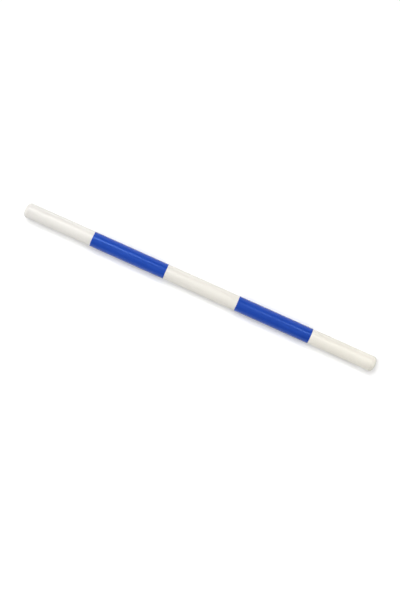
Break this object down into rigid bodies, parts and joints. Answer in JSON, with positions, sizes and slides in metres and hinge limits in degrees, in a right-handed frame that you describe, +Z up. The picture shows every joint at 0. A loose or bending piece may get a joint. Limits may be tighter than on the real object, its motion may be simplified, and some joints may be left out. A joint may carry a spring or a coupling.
{
  "type": "juggling stick",
  "caption": "Straight round juggling stick with rounded ends: a white plastic tube over a wooden core, wrapped with spaced blue film bands and closed by screwed end caps.",
  "frame": {"origin": "middle of the stick's axis, which is the centre of its bounding box and its balance point", "axes": "+X runs along the stick to its right end, +Z is up with the stick lying on a level surface, and +Y completes a right-handed frame"},
  "size_m": [0.5, 0.0206, 0.0206],
  "materials": {
    "white_plastic": "gloss",
    "white_cap_plastic": "gloss",
    "blue_film": "satin",
    "beech_wood": "matte",
    "zinc_plated_steel": "satin"
  },
  "bodies": {
    "root": {"white_tube": "white_plastic", "blue_band_left": "blue_film", "blue_band_right": "blue_film", "end_cap_left": "white_cap_plastic", "end_cap_right": "white_cap_plastic", "screw_cover_left": "white_cap_plastic", "screw_cover_right": "white_cap_plastic", "core_dowel": "beech_wood", "cap_screw_left": "zinc_plated_steel", "cap_screw_right": "zinc_plated_steel", "cap_washer_left": "zinc_plated_steel", "cap_washer_right": "zinc_plated_steel"}
  },
  "joints": []
}
